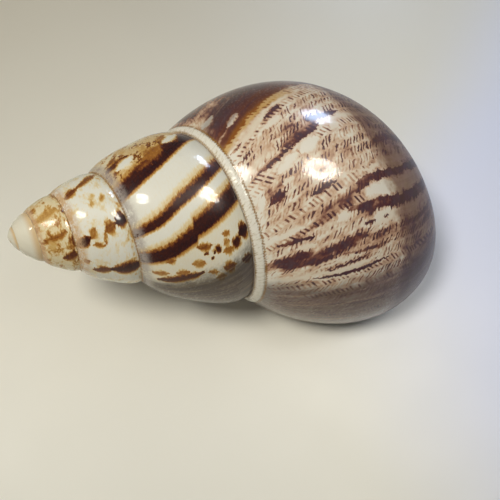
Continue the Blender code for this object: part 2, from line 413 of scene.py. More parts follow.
def makePiece(name, tree, form, material):
    holder = addObject(name + "Grower", bpy.data.meshes.new(name + "Grower"))
    modifier = holder.modifiers.new("grow", "NODES")
    modifier.node_group = tree
    wanted = dict(form.inputs, Material=material)
    for item in tree.interface.items_tree:
        if item.name in wanted:
            modifier[item.identifier] = wanted[item.name]
    ready = holder.evaluated_get(bpy.context.evaluated_depsgraph_get())
    mesh = bpy.data.meshes.new_from_object(ready)
    bpy.data.objects.remove(holder)
    mesh.transform(shellPlacing(shellForm))
    mesh.name = name
    return addObject(name, mesh)


# The markings. Places are (turn, across) on the shell, sizes are millimetres, colours
# are red, green and blue out of 255 as the eye sees them, and pigment is 0 to 1.
shellMarks = Settings(
    colours=dict(
        whiteEnamel=(238, 233, 217), enamelShade=(186, 168, 122), bandEdge=(146, 108, 46),
        bandTan=(208, 172, 132), bandLilac=(178, 168, 158), spireTan=(216, 188, 142),
        # the veil's and the milky zones' colours below are partly pigment and partly painted shade
        purple=(92, 70, 76), milkyPurple=(92, 72, 76), greyBrown=(86, 69, 58), darkLine=(66, 50, 46),
        umber=(112, 66, 42), gold=(200, 158, 86), amber=(150, 92, 34),
        # the dusky colours are partly pigment and partly painted shade
        duskyBrown=(56, 38, 32), duskyLilac=(84, 64, 60),
        ivory=(230, 224, 202), porcelain=(230, 232, 230), pearl=(196, 186, 194)),
    # the colour that more and more pigment gives, on the spire and on the body
    spireTone=[
        (0.0, (234, 231, 215)), (0.1, (231, 216, 174)), (0.25, (208, 168, 96)), (0.4, (166, 110, 46)),
        (0.55, (114, 62, 32)), (0.75, (72, 36, 28)), (1.0, (48, 26, 27))],
    bodyTone=[
        (0.0, (236, 229, 212)), (0.16, (228, 212, 186)), (0.32, (212, 178, 146)), (0.45, (188, 148, 118)),
        (0.6, (130, 84, 70)), (0.75, (92, 56, 56)), (1.0, (70, 46, 58))],
    turnLength=240, whorlLength=62, turnGrowth=0.52, whorlGrowth=0.55,   # at turn 4
    # noises: scale, detail and roughness, and from speck on first a stretch along and across
    rough=(0.3, 3.0), fine=(1.0, 3.0, 0.6), ripple=(1.2, 1.0),
    speck=(0.6, 1.1, 1.5), thread=(110.0, 1.6, 1.0, 3.0, 0.6), line=(300.0, 2.0, 1.0),
    chance=(26.0, 1.1, 1.0, 3.0, 0.6), blotch=(0.4, 0.2, 1.0, 2.0, 0.6), patch=(0.3, 0.4, 1.0, 1.0),
    drift=(0.15, 0.06, 1.0, 1.0), pucker=(1.3, 22.0, 1.0, 3.0, 0.6), scratch=(0.6, 0.6, 9.0, 3.0, 0.7),
    # combs: how far apart dashes are, a column's width, the slope and the share that lean forward
    combPitch=1.7, combWidth=2.9, combSlope=0.75, leanForward=0.68, combDepth=0.34, blotchDepth=0.42,
    dashFrom=(-0.4, 0.7), dashEnds=(0.28, 0.42), dashPatches=(-0.4, 0.2),
    # where in turns the marks that the front shows begin and end, and where the body begins
    seenFront=(1.7, 1.78, 2.2, 2.28), seenFlames=(2.68, 2.74, 3.22, 3.28),
    seenBody=(3.68, 3.74, 4.2, 4.24), bodyTurns=(3.38, 3.52),
    # zones of the body: of its streaks across the whorl, of its combs, and of its colours
    middleAcross=(0.26, 0.42), lowerAcross=(0.58, 0.72), lightAcross=(0.07, 0.17),
    # the veil across the bottom of the body is partly painted shade
    veilAcross=(0.82, 0.94), combTurns=(3.875, 3.905), combsEnd=(4.16, 4.19),
    combedStreaks=(0.14, 0.36), solidStreaks=(0.62, 0.85), otherStreaks=(0.3, 0.72),
    tornAcross=(0.2, 0.7), umberTurns=(3.862, 3.886, 3.898, 3.906), umberAcross=(0.7, 0.9),
    goldTurns=(3.897, 3.905, 3.91, 3.917), goldAcross=(0.5, 0.75),
    # the milky zones at both sides of the seen body are partly painted shade
    milkTurns=(4.128, 4.158), milkAcross=(0.1, 0.5), firstMilk=(3.825, 3.845, 3.855, 3.88),
    # zones of the spire
    apexTurns=(0.1, 0.6), apexTanAcross=(0.55, 0.95), stainTurns=(1.25, 1.5), markedTurns=(0.5, 0.8),
    tintTurns=(1.3, 1.9), flamesFrom=(1.3, 1.6), mottledTurns=(2.74, 2.8, 2.885, 2.905),
    bendAcross=(0.25, 0.5), bendTurns=(2.95, 3.0),
    stepAcross=(0.50, 0.53), stepTurns=(3.04, 3.05, 3.1, 3.12),
    otherFlame=(0.1, 0.55, 0.66, 0.7), otherFlameTurns=0.094, otherFlames=(0.32, 0.55),
    # the dusky zone of the spire is partly painted shade
    duskGrowth=(3.15, 3.19), duskTurns=(3.3, 3.5), lilacGrowth=(3.185, 3.25),
    # the white band under the suture and its edge, then the young whorls' band, whose top and foot
    # are given where it is oldest, each with how much it changes
    grownTurns=(3.3, 3.5), toothLength=1.1, bandFoot=(0.056, 0.066), bandEdgeAt=0.068,
    bandEdgeHalf=(0.003, 0.010), sutureLine=(0.009, 0.022), sutureTurns=(1.0, 1.5),
    youngTurns=(2.3, 2.7), youngBandTop=(0.05, 0.03), youngBandFoot=(0.22, 0.09),
    firmEdge=1.4, softEdge=2.3,   # where a brush stroke's touch ends, in half widths
    roughness=0.26, coat=0.55, coatBump=(0.5, 0.06), grainBump=(0.3, 0.12),
    finish={"Specular IOR Level": 0.1, "Coat IOR": 1.4, "Coat Roughness": 0.05},
    # how much pigment each streak has, by the growth line it lies on
    upperStreaks=[
        (3.7, .7), (3.78, .8), (3.825, .5), (3.845, .75), (3.866, .85), (3.885, .95), (3.888, .7),
        (3.895, .9), (3.905, .8), (3.912, .25), (3.927, .12), (3.935, .6), (3.942, .2), (3.95, .65),
        (3.958, .2), (3.967, .2), (3.975, .75), (3.982, .35), (3.995, .45), (4.008, .72), (4.02, .5),
        (4.055, .55), (4.067, .08), (4.078, .75), (4.088, .4), (4.103, .88), (4.118, .7), (4.126, .3),
        (4.138, .08), (4.15, .62), (4.163, .25), (4.2, .5)],
    middleStreaks=[
        (3.7, .35), (3.8, .6), (3.86, .8), (3.888, .95), (3.905, .85), (3.912, .4), (3.922, .08),
        (3.934, .65), (3.948, .3), (3.96, .6), (3.977, .76), (3.984, .3), (4.0, .34), (4.012, .65),
        (4.024, .45), (4.04, .55), (4.056, .45), (4.066, .75), (4.078, .75), (4.084, .15), (4.094, .5),
        (4.101, .3), (4.113, .85), (4.126, .65), (4.133, .05), (4.139, .92), (4.145, .1), (4.158, .6),
        (4.166, .3), (4.182, .65), (4.196, .35), (4.22, .5)],
    lowerStreaks=[
        (3.7, .35), (3.84, .5), (3.9, .8), (3.93, .25), (3.946, .65), (3.96, .25), (3.972, .65),
        (3.984, .1), (3.998, .55), (4.006, .3), (4.022, .8), (4.034, .5), (4.046, .2), (4.053, .1),
        (4.06, .95), (4.067, .8), (4.071, .03), (4.084, .03), (4.089, .9), (4.098, .88), (4.103, .1),
        (4.11, .15), (4.12, .75), (4.133, .65), (4.142, .3), (4.15, .65), (4.165, .4), (4.18, .65),
        (4.2, .5), (4.24, .45)],
    # the flames of the whorl before it: soft on the older side, sharp on the younger
    flames=[
        (2.7, .12), (2.76, .2), (2.8, .08), (2.85, .2), (2.885, .2), (2.898, .34), (2.905, .6),
        (2.912, .85), (2.93, .95), (2.936, .85), (2.941, .35), (2.948, .0), (2.988, .0), (3.001, .14),
        (3.01, .5), (3.014, .85), (3.024, .85), (3.028, .35), (3.034, .0), (3.05, .0), (3.062, .16),
        (3.07, .5), (3.075, .85), (3.094, .95), (3.099, .35), (3.108, .04), (3.24, .03)],
    # brush strokes: from turn, across, to turn, across, half width, pigment
    bodyStrokes=[
        (3.826, .08, 3.815, .19, 1.5, 0), (3.857, .18, 3.842, .28, 1.3, 0),
        (3.934, .43, 3.922, .55, 2.8, 0), (3.915, .66, 3.907, .73, 1.5, .1),
        (3.954, .26, 3.934, .4, 1.7, .03), (3.888, .33, 3.878, .45, 1.4, .06),
        (3.996, .69, 3.989, .8, 2.6, .02), (4.024, .66, 4.013, .82, 1.6, .06),
        (4.02, .48, 4.008, .56, 1.6, .05), (4, .1, 3.98, .14, 1.2, .04),
        (4.054, .24, 4.046, .34, 1.3, .1), (4.048, .08, 4.024, .3, 1, .05),
        (4.1, .3, 4.068, .74, .9, .06), (4.092, .3, 4.062, .7, .7, .1), (3.981, .64, 3.973, .86, 1, .82),
        (4.009, .55, 4, .84, 1.6, .82), (3.966, .66, 3.954, .88, 1, .6), (3.873, .37, 3.86, .5, 1.2, .8),
        (3.908, .34, 3.896, .52, 1.1, .72), (3.924, .39, 3.904, .62, 1, .82),
        (3.948, .17, 3.924, .4, .9, .78), (3.928, .08, 3.912, .19, .6, .8),
        (3.905, .09, 3.894, .18, .6, .75), (3.896, .56, 3.89, .8, 1.1, .85),
        (4.053, .14, 4.036, .34, .8, .9), (4.088, .12, 4.062, .42, 1.7, .82),
        (4.096, .32, 4.066, .76, .7, 1), (4.026, .63, 4.022, .7, .7, .9),
        (4.021, .76, 4.019, .8, .5, .85), (4.06, .48, 4.048, .8, .8, .75),
        (4.048, .58, 4.034, .98, 1.5, .72), (3.94, .68, 3.926, .96, 2, .62),
        (3.992, .16, 3.978, .26, 1.6, .85), (3.968, .26, 3.962, .33, 1, .1),
        (3.962, .48, 3.938, .62, 1.8, .7), (3.988, .38, 3.974, .54, .9, .85),
        (4.139, .42, 4.127, .72, .6, .85)],
    spireStrokes=[
        (2.832, .06, 2.822, .3, 1, .7), (2.862, .08, 2.846, .16, .6, .5), (2.85, .14, 2.834, .32, 1.5, 0),
        (2.858, .4, 2.842, .58, 2, .42), (2.834, .42, 2.806, .5, .7, .3),
        (2.832, .66, 2.814, .84, 1.4, 0), (2.822, .62, 2.8, .74, .8, .42), (2.8, .3, 2.76, .34, 1.4, .24),
        (3.142, .14, 3.1, .52, 1, .72), (3.122, .1, 3.112, .24, .8, .42), (3.108, .3, 3.1, .4, .7, .4),
        (3.084, .44, 3.08, .54, .9, .38), (3.06, .72, 3.054, .8, .8, .42),
        (3.046, .72, 3.04, .78, .7, .36), (3.1, .56, 3.096, .64, .5, .4), (3.11, .62, 3.106, .7, .9, .34),
        (2.812, .1, 2.8, .22, .8, .5), (2.878, .3, 2.868, .42, .8, .55), (3.05, .5, 3.048, .62, .8, .5),
        (3.054, .67, 3.053, .67, .65, .85), (3.046, .84, 3.043, .86, .9, .85),
        (3.032, .9, 3.024, 1, 1.3, .9), (3.062, .55, 3.061, .56, .35, .8), (3.07, .6, 3.069, .6, .35, .8),
        (3.059, .63, 3.058, .63, .3, .8), (3.09, .7, 3.084, .8, 1.2, .55),
        (3.078, .88, 3.074, .98, .8, .75), (3.03, .74, 3.026, .8, .6, .42),
        (3.084, .24, 3.076, .3, .7, .45), (1.868, .12, 1.846, .4, .9, .55),
        (1.846, .4, 1.804, .92, .8, .5), (2.054, .02, 2.022, .28, 1, .85), (2.024, .3, 2, .4, 1, .42),
        (2.046, .3, 2.048, .48, .5, .42), (2.044, .5, 2.01, .54, .4, .4),
        (2.006, .56, 1.99, .72, 1.3, .5), (1.986, .76, 1.976, 1, 1.1, .95),
        (1.924, .48, 1.918, .52, .55, .3), (1.914, .69, 1.908, .73, .6, .34),
        (2.148, .22, 2.13, .5, 1, .6), (2.13, .5, 2.112, 1, 1.3, .82), (2.12, .08, 2.11, .18, .7, .5),
        (1.9, .56, 1.896, .58, .5, .22), (.925, .04, .89, .8, .75, .32), (1.046, .04, .99, .86, .6, .46),
        (1.066, .26, 1.05, .44, 1.1, .24), (1.112, .56, 1.086, 1, .8, .6), (.82, .16, .81, .36, .6, .2),
        (1.16, .1, 1.24, .16, .9, .26)],
)


def linear(colour):   # from the eye's scale to light
    shares = [part / 255 for part in colour]
    return tuple(share / 12.92 if share < 0.04 else ((share + 0.055) / 1.055) ** 2.4 for share in shares)


# a point in millimetres along the growth and across the whorl, for marks of a real size
def markPlace(turn, across, marks):
    spread, height = marks.turnLength / marks.turnGrowth, marks.whorlLength
    if isinstance(turn, Field):
        return (spread * calc("EXPONENT", (turn - 4.0) * marks.turnGrowth),
                height * across * calc("EXPONENT", (turn - 4.0) * marks.whorlGrowth))
    return (spread * exp((turn - 4) * marks.turnGrowth),
            height * across * exp((turn - 4) * marks.whorlGrowth))


# colours or amounts along a value, from a list of stops
def steps(value, stops, kind="EASE"):
    low, high = stops[0][0], stops[-1][0]
    made = node(value.tree, "ShaderNodeValToRGB", [(value - low) / (high - low)])
    bar = made.socket.node.color_ramp
    bar.interpolation = kind
    for k, (place, shade) in enumerate(stops):
        colour = linear(shade) if isinstance(shade, tuple) else (shade, shade, shade)
        at = (place - low) / (high - low)
        element = bar.elements[k] if k < 2 else bar.elements.new(at)
        element.position = at
        element.color = (*colour, 1.0)
    return made


# one brush stroke, pointed at its ends, as a node group that is used again and again
def brushGroup(name, soft):
    group = bpy.data.node_groups.new(name, "ShaderNodeTree")
    inputs = {
        "Pigment": "Float", "Place": "Vector", "Start": "Vector", "Along": "Vector",
        "Share of length": "Vector", "Half width": "Float", "Blunt": "Float", "Amount": "Float"}
    for label, kind in inputs.items():
        group.interface.new_socket(label, in_out="INPUT", socket_type="NodeSocket" + kind)
    group.interface.new_socket("Pigment", in_out="OUTPUT", socket_type="NodeSocketFloat")
    start = group.nodes.new("NodeGroupInput")
    given = {output.name: Field(group, output) for output in start.outputs if output.name}
    away = vectors("SUBTRACT", given["Place"], given["Start"])
    share = limit(vectors("DOT_PRODUCT", away, given["Share of length"], output="Value"))
    gap = vectors("SUBTRACT", away, vectors("SCALE", given["Along"], scale=share))
    gap = vectors("LENGTH", gap, output="Value")
    pointed = 4.0 * share * (1.0 - share)
    width = given["Half width"] * (0.3 + 0.7 * greater(pointed, given["Blunt"]))
    touch = falling(gap, width * 0.35, width * soft)
    result = mixNumber(given["Pigment"], given["Amount"], touch)
    plug(group, group.nodes.new("NodeGroupOutput").inputs[0], result)
    return group


def stroke(group, pigment, place, start, end, halfWidth, amount):
    start, end = Vector((*start, 0)), Vector((*end, 0))
    along = end - start
    blunt = 1.0 if along.length < 2 * halfWidth else 0.0
    shareOfLength = along / max(along.length_squared, 1e-6)
    values = (pigment, place, start, along, shareOfLength, halfWidth, blunt, amount)
    return node(pigment.tree, "ShaderNodeGroup", values, node_tree=group)


def strokes(group, pigment, place, marked, marks):
    for *ends, halfWidth, amount in marked:
        start, end = markPlace(*ends[:2], marks), markPlace(*ends[2:], marks)
        pigment = stroke(group, pigment, place, start, end, halfWidth, amount)
    return pigment


def dice(value):   # a chance number for each whole number
    return node(value.tree, "ShaderNodeTexWhiteNoise", {"W": value}, "Value", noise_dimensions="1D")


def attribute(tree, name):
    return node(tree, "ShaderNodeAttribute", output="Fac", attribute_name=name)


# the place on the shell, with the noises that its marks share
def readPlace(tree, marks, form):
    here = SimpleNamespace()
    turn, across, here.inside = (attribute(tree, name) for name in ("turn", "across", "inside"))
    growth = turn + growthLag(turn, across, form)
    along, over = markPlace(growth, across, marks)
    here.grain = vector(tree, along, over)
    rough, fine = centred(noise(here.grain, *marks.rough)), centred(noise(here.grain, *marks.fine))
    speck = centred(stretched(along, over, *marks.speck))
    here.thread = centred(stretched(growth, across, *marks.thread))
    here.line = stretched(growth, across, *marks.line) - 0.5
    here.chance = stretched(growth, across, *marks.chance)
    here.blotch = centred(stretched(along, over, *marks.blotch), 0.46)
    here.patch = centred(stretched(along, over, *marks.patch))
    here.pucker = stretched(along, across, *marks.pucker) - 0.5
    wobble = vector(tree, fine * 0.7 + rough * 0.5, speck * 0.7 + rough * 0.5)
    here.steady = vectors("ADD", vector(tree, *markPlace(turn, across, marks)), wobble)
    here.turn, here.across, here.growth, here.along, here.over = turn, across, growth, along, over
    here.rough, here.fine, here.speck = rough, fine, speck
    # the veil at the bottom of the body: partly its colour and partly painted shade towards the table
    here.veil = zone(across + rough * 0.05 + here.thread * 0.02, marks.veilAcross)
    here.onBody = zone(turn + rough * 0.04, marks.bodyTurns)
    return here


# how dark each streak of the body is, by the growth line that it lies on
def bodyStreaks(here, marks):
    shaky = here.growth + here.rough * 0.006 + here.fine * 0.0025
    upper, middle = steps(shaky, marks.upperStreaks), steps(shaky, marks.middleStreaks)
    streak = mixNumber(upper, middle, zone(here.across, marks.middleAcross))
    streak = mixNumber(streak, steps(shaky, marks.lowerStreaks), zone(here.across, marks.lowerAcross))
    other = zone(here.chance, marks.otherStreaks)
    streak = mixNumber(other, streak, zone(here.turn, marks.seenBody))
    brush = brushGroup("firmBrush", marks.firmEdge)
    return strokes(brush, streak, here.steady, marks.bodyStrokes, marks)


# columns of short dashes, all leaning one way in a column
def combDashes(here, marks):
    place = here.along / marks.combWidth + here.rough * 0.34 + here.fine * 0.1
    column = calc("FLOOR", place)
    inColumn = place - column - 0.5
    chance = dice(column)
    leaning = 1.0 - 2.0 * calc("GREATER_THAN", chance, marks.leanForward)
    lean = leaning * inColumn * (marks.combWidth * marks.combSlope / marks.combPitch)
    drift = stretched(here.along, here.over, *marks.drift) * 1.6
    rung = here.over / marks.combPitch + lean + chance * 5.0 + drift + here.rough * 0.45 + here.fine * 0.14
    strong = dice(column * 13.0 + calc("FLOOR", rung))
    dash = zone(calc("SINE", rung * (2 * pi)), marks.dashFrom) * (0.2 + 0.8 * ramp(strong, 0.1, 0.8))
    length = calc("ABSOLUTE", inColumn) + here.fine * 0.08
    return dash * falling(length, *marks.dashEnds) * (0.65 + 0.35 * zone(here.patch, marks.dashPatches))


# streaks with combs in their middle tones, fading to a veil at the bottom that is partly pigment and
# partly painted shade
def bodyPigment(here, streak, marks):
    combed = zone(here.growth, marks.combTurns)
    combed = combed * (1.0 - zone(here.growth + here.rough * 0.01, marks.combsEnd) * 0.6)
    middle = zone(streak, marks.combedStreaks) * (1.0 - zone(streak, marks.solidStreaks) * 0.8)
    middle = middle * (0.3 + 0.7 * combed)
    dashes = combDashes(here, marks) * (marks.combDepth + streak * 0.4) + here.speck * 0.06
    pigment = streak * (1.0 - middle * 0.62) + middle * dashes
    pigment = pigment + here.blotch * marks.blotchDepth * ramp(streak, 0.05, 0.35)
    pigment = pigment - falling(here.across, *marks.lightAcross) * 0.3
    # towards the bottom the pigment turns into the veil, which is partly painted shade
    veiledAndShaded = pigment * 0.5 + 0.36 + here.thread * 0.12 + here.patch * 0.08
    return mixNumber(pigment, veiledAndShaded, here.veil)


# flames on the whorl before the body, and stains and spots further up
def spirePigment(here, marks):
    turn, across, growth = here.turn, here.across, here.growth
    rough, fine, speck = here.rough, here.fine, here.speck
    pushed = growth - falling(across, *marks.bendAcross) * zone(growth, marks.bendTurns) * 0.008
    stepBack = zone(across, marks.stepAcross) * zone(growth, marks.stepTurns)
    jagged = pushed + fine * 0.0036 + speck * 0.0028 + stepBack * 0.008
    mottle = zone(growth, marks.mottledTurns) * ramp(rough + fine * 0.8 + speck * 0.3, 0.05, 0.5)
    flame = steps(jagged, marks.flames) + mottle * 0.36
    apart = noise(vector(growth.tree, growth * 5.0), 1.0) * 1.2
    period = calc("FRACT", jagged / marks.otherFlameTurns + apart)
    otherFlame = zone(period, marks.otherFlame) * zone(here.chance, marks.otherFlames)
    stain = ramp(rough + fine * 0.6, -0.1, 0.5) * (0.12 + 0.16 * falling(turn, *marks.stainTurns))
    nearSuture = falling(across, 0.04, 0.2) + ramp(across, 0.8, 0.95)
    early = stain * zone(turn, marks.markedTurns) + nearSuture * ramp(fine + rough, -0.4, 0.5) * 0.16
    early = early + falling(turn, *marks.tintTurns) * 0.07
    pigment = mixNumber(otherFlame * 0.9, early, zone(turn, marks.seenFront))
    pigment = mixNumber(pigment, flame, zone(turn, marks.seenFlames))
    pigment = mixNumber(early + 0.04, pigment, zone(turn, marks.flamesFrom)) + speck * 0.03
    brush = brushGroup("softBrush", marks.softEdge)
    pigment = strokes(brush, pigment, here.steady, marks.spireStrokes, marks)
    return pigment * (1.0 + fine * 0.3 + here.thread * 0.2)


# pigment of the body, with a purple glaze, an umber and golden streak, and milky streaks and a veil that
# are partly pigment and partly painted shade at the body's sides and bottom
def bodyColour(here, pigment, paint, marks):
    rough, fine, thread = here.rough, here.fine, here.thread
    glaze = ramp(here.blotch + rough * 0.5, -0.2, 0.5) * ramp(pigment, 0.5, 0.8) * 0.6
    torn = here.growth + rough * 0.004 + thread * 0.0024 - zone(here.across, marks.tornAcross) * 0.009
    umber = zone(torn, marks.umberTurns) * ramp(thread + fine * 0.3, -0.7, 0.2)
    golden = zone(torn, marks.goldTurns) * falling(here.across, *marks.goldAcross)
    gold = mixColour(paint.gold, paint.amber, ramp(pigment + thread * 0.4, 0.3, 0.7))
    # milky zones at both sides of the seen body, darker where it turns away: partly a glaze and partly
    # painted shade
    swept = here.growth + rough * 0.008 - zone(here.across, marks.milkAcross) * 0.025
    milkAndShadeShare = zone(swept, marks.milkTurns) * 0.82 + zone(torn, marks.firstMilk) * 0.5
    milkAndShadeColour = layered(
        paint.milkyPurple,
        (paint.greyBrown, ramp(thread + rough * 0.3, -0.5, 0.5)),
        (paint.spireTan, ramp(fine * 0.2 - thread, 0.1, 0.7) * 0.55),
        (paint.darkLine, ramp(thread + fine * 0.2, 0.3, 0.7) * 0.5))
    # the veil's colour: painted shade over pigment, darker towards the bottom
    veil = mixColour(paint.greyBrown, paint.purple, ramp(here.line + rough * 0.6, -0.3, 0.3))
    return layered(
        steps(pigment, marks.bodyTone, "LINEAR"),
        (paint.milkyPurple, glaze),
        (paint.umber, umber * falling(here.across, *marks.umberAcross) * 0.75),
        (gold, golden * 0.85),
        (milkAndShadeColour, milkAndShadeShare),
        (veil, here.veil * 0.6))


# the right of the spire, on the side that faces the table, has a dusky brown and lilac over it, partly its
# pigment and partly painted shade
def duskAndShadeOver(colour, here, paint, marks):
    shade = here.growth + here.fine * 0.012 + here.rough * 0.012 + here.thread * 0.004
    here.dusky = zone(shade, marks.duskGrowth) * falling(here.turn, *marks.duskTurns)
    dusk = layered(
        paint.duskyBrown,
        (paint.duskyLilac, zone(shade, marks.lilacGrowth) * 0.8),
        (paint.spireTan, ramp(here.thread + here.line + here.fine * 0.2, -0.2, 0.7) * 0.25))
    return mixColour(colour, dusk, here.dusky * 0.9)


# a white band under the suture with serrated amber edges, and a thinner one on the young whorls
def bandsOver(colour, here, paint, marks):
    turn, across, rough, fine, speck = here.turn, here.across, here.rough, here.fine, here.speck
    grownUp = zone(turn, marks.grownTurns)
    teeth = calc("SINE", here.along * (2 * pi / marks.toothLength) + fine * 4.0) * 0.003 + fine * 0.007
    toEdge = calc("ABSOLUTE", across + teeth - marks.bandEdgeAt)
    edge = falling(toEdge, *marks.bandEdgeHalf) * grownUp
    here.band = falling(across + teeth, *marks.bandFoot) * grownUp
    enamel = mixColour(paint.whiteEnamel, paint.enamelShade, ramp(here.pucker, 0.0, 0.2) * 0.7)
    older = zone(turn, marks.youngTurns)
    (top, topSpread), (foot, footLoss) = marks.youngBandTop, marks.youngBandFoot
    ragged = across + fine * 0.03 + rough * 0.02
    young = falling(ragged, top + topSpread * (1.0 - older), foot - footLoss * older)
    young = young * (1.0 - grownUp) * zone(turn, marks.markedTurns)
    here.youngBand = young * ramp(fine + rough + speck * 0.5, -1.0, 0.2)
    thin = layered(paint.bandTan, (paint.bandLilac, older), (paint.duskyBrown, here.pucker * 0.8))
    atSuture = falling(across + teeth, *marks.sutureLine) * zone(turn, marks.sutureTurns)
    return layered(
        colour,
        (paint.bandEdge, edge * ramp(fine + speck, -0.8, 0.1) * 0.85),
        (enamel, here.band),
        (thin, here.youngBand * 0.8),
        (paint.bandEdge, atSuture * ramp(fine + speck, -1.2, 0.2) * 0.8))


def shellMaterial(marks, form):
    material, tree, surface = newMaterial("polishedShell")
    paint = Settings((name, linear(colour)) for name, colour in marks.colours.items())
    here = readPlace(tree, marks, form)
    print("  body whorl")
    streak = bodyStreaks(here, marks)
    body = bodyColour(here, bodyPigment(here, streak, marks), paint, marks)
    print("  flames of the spire")
    spire = steps(spirePigment(here, marks), marks.spireTone, "LINEAR")
    colour = mixColour(spire, body, here.onBody)
    print("  shade, bands, apex and inside")
    apex = mixColour(paint.ivory, paint.spireTan, zone(here.across, marks.apexTanAcross))
    pearly = ramp(here.rough + here.thread * 0.4, -0.6, 0.6) * 0.35 + streak * 0.3
    colour = layered(
        bandsOver(duskAndShadeOver(colour, here, paint, marks), here, paint, marks),
        (apex, falling(here.turn, *marks.apexTurns)),
        (mixColour(paint.porcelain, paint.pearl, pearly), here.inside))

    plug(tree, surface.inputs["Base Color"], colour)
    plug(tree, surface.inputs["Roughness"], marks.roughness + here.fine * 0.06 + here.veil * 0.1)
    coat = marks.coat - here.veil * here.onBody * 0.25 - here.dusky * 0.3
    plug(tree, surface.inputs["Coat Weight"], coat)
    for label, value in marks.finish.items():
        plug(tree, surface.inputs[label], value)
    rippled = noise(here.grain, *marks.ripple) + here.line * 0.3
    bump(surface, rippled, *marks.coatBump, "Coat Normal")
    scratch = stretched(here.along, here.over, *marks.scratch) * 0.9
    puckered = here.pucker * (here.band + here.youngBand * 0.5) * 5.0
    bump(surface, scratch + here.line * 0.6 + here.fine * 0.12 + puckered, *marks.grainBump)
    return material


print("growing the shell")
shellPaint = shellMaterial(shellMarks, shellForm)
shell = makePiece("snailShell", growShellTree(shellForm), shellForm, shellPaint)
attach(shell, "root")
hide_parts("shell")
print("shell has", len(shell.data.vertices), "points", len(shell.data.polygons), "faces")


# The puckered cord along the suture: a white band on the body, a thin thread further up
cordForm = Settings(
    inputs={
        "First turn": 1.2, "Last turn": 4.345, "Rows": 1500, "Sides": 16, "Band height": 0.3,
        "Thread height": 0.16, "Pucker": 0.4, "Pucker length": 0.9},
    bandTurns=(3.25, 3.5), bandTop=0.004, bandFoot=0.062, threadTop=-0.004, threadFoot=0.030,
    under=0.5, fadeTurns=0.12, sunkEnds=0.15, climb=40.0, step=0.01, seam=0.002,
    lengthAtTurnFour=365.0, lengthGrowth=0.45, shift=(0.25, 20.0, 1.0), shiftBy=9.0,
    uneven=(0.5, 30.0, 1.0), unevenBy=0.6, calmerBand=0.4,
)


def growCordTree(form, shape):
    tree, given = newTree("growSutureCord", form.inputs)
    geometry = plainGrid(tree, given["Rows"], given["Sides"] + 1.0)
    x, y = positions(tree)[:2]
    turn = mixNumber(given["First turn"], given["Last turn"], x + 0.5)
    around = (y + 0.5) * (2 * pi)
    first, last, fade = form.inputs["First turn"], form.inputs["Last turn"], form.fadeTurns
    taper = zone(turn, (first, first + fade, last - fade / 2, last))
    band = zone(turn, form.bandTurns)
    top = mixNumber(form.threadTop, form.bandTop, band)
    foot = mixNumber(form.threadFoot, form.bandFoot, band)
    across = (top + foot) / 2 - (foot - top) / 2 * (calc("COSINE", around) * calc("SQRT", taper))

    # beads along the cord
    height = mixNumber(given["Thread height"], given["Band height"], band)
    length = calc("EXPONENT", (turn - 4.0) * form.lengthGrowth) * form.lengthAtTurnFour
    shift = stretched(length, across, *form.shift) * form.shiftBy
    bead = calc("SINE", length * (2 * pi) / given["Pucker length"] + shift)
    uneven = (stretched(length, across, *form.uneven) - 0.5) * form.unevenBy
    height = height * (1.0 + given["Pucker"] * bead * (1.0 - form.calmerBand * band) + uneven)
    lift = calc("SINE", around)
    lift = greater(lift, 0.0) * height + lesser(lift, 0.0) * form.under
    lift = lift * taper - (1.0 - taper) * form.sunkEnds

    # outwards from the whorl, and above its suture straight up
    sutures = sutureAt(turn, shape), sutureAt(turn + 1.0, shape)
    radius, depth = whorlOutline(turn, greater(across, 0.0), shape, sutures)
    nextRadius, nextDepth = whorlOutline(turn, greater(across, 0.0) + form.step, shape, sutures)
    outRadius, outDepth = nextDepth - depth, radius - nextRadius
    size = lengthOf(outRadius, outDepth)
    radius, depth = radius + lift * outRadius / size, depth + lift * outDepth / size
    depth = depth + lesser(across, 0.0) * form.climb
    geometry = remember(geometry, turn=turn, across=across, inside=0.0)
    geometry = move(geometry, position=pointAt(radius, depth, turn))
    finishTree(geometry, given["Material"], form.seam)
    return tree


print("laying the cord along the suture")
cord = makePiece("sutureCord", growCordTree(cordForm, shellForm), cordForm, shellPaint)
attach(cord, "root")
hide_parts("shell")


# The pillar up the middle, which shows inside the mouth
pillarForm = Settings(
    inputs={
        "Top depth": 44.0, "Foot depth": 119.6, "Top radius": 1.5, "Foot radius": 3.9, "Fold": 0.45,
        "Rings": 110, "Sides": 36},
    footRound=3.5, footFlat=0.25, widening=1.3, foldTurns=1.1, foldLength=30, endRings=5,
    windRadius=0.9, windTurns=1.4, windStart=radians(150), straighterFrom=14.0, straighter=0.6,
    paintedAs=dict(turn=3.9, across=1.95, inside=1.0),   # the place whose colours it has
)


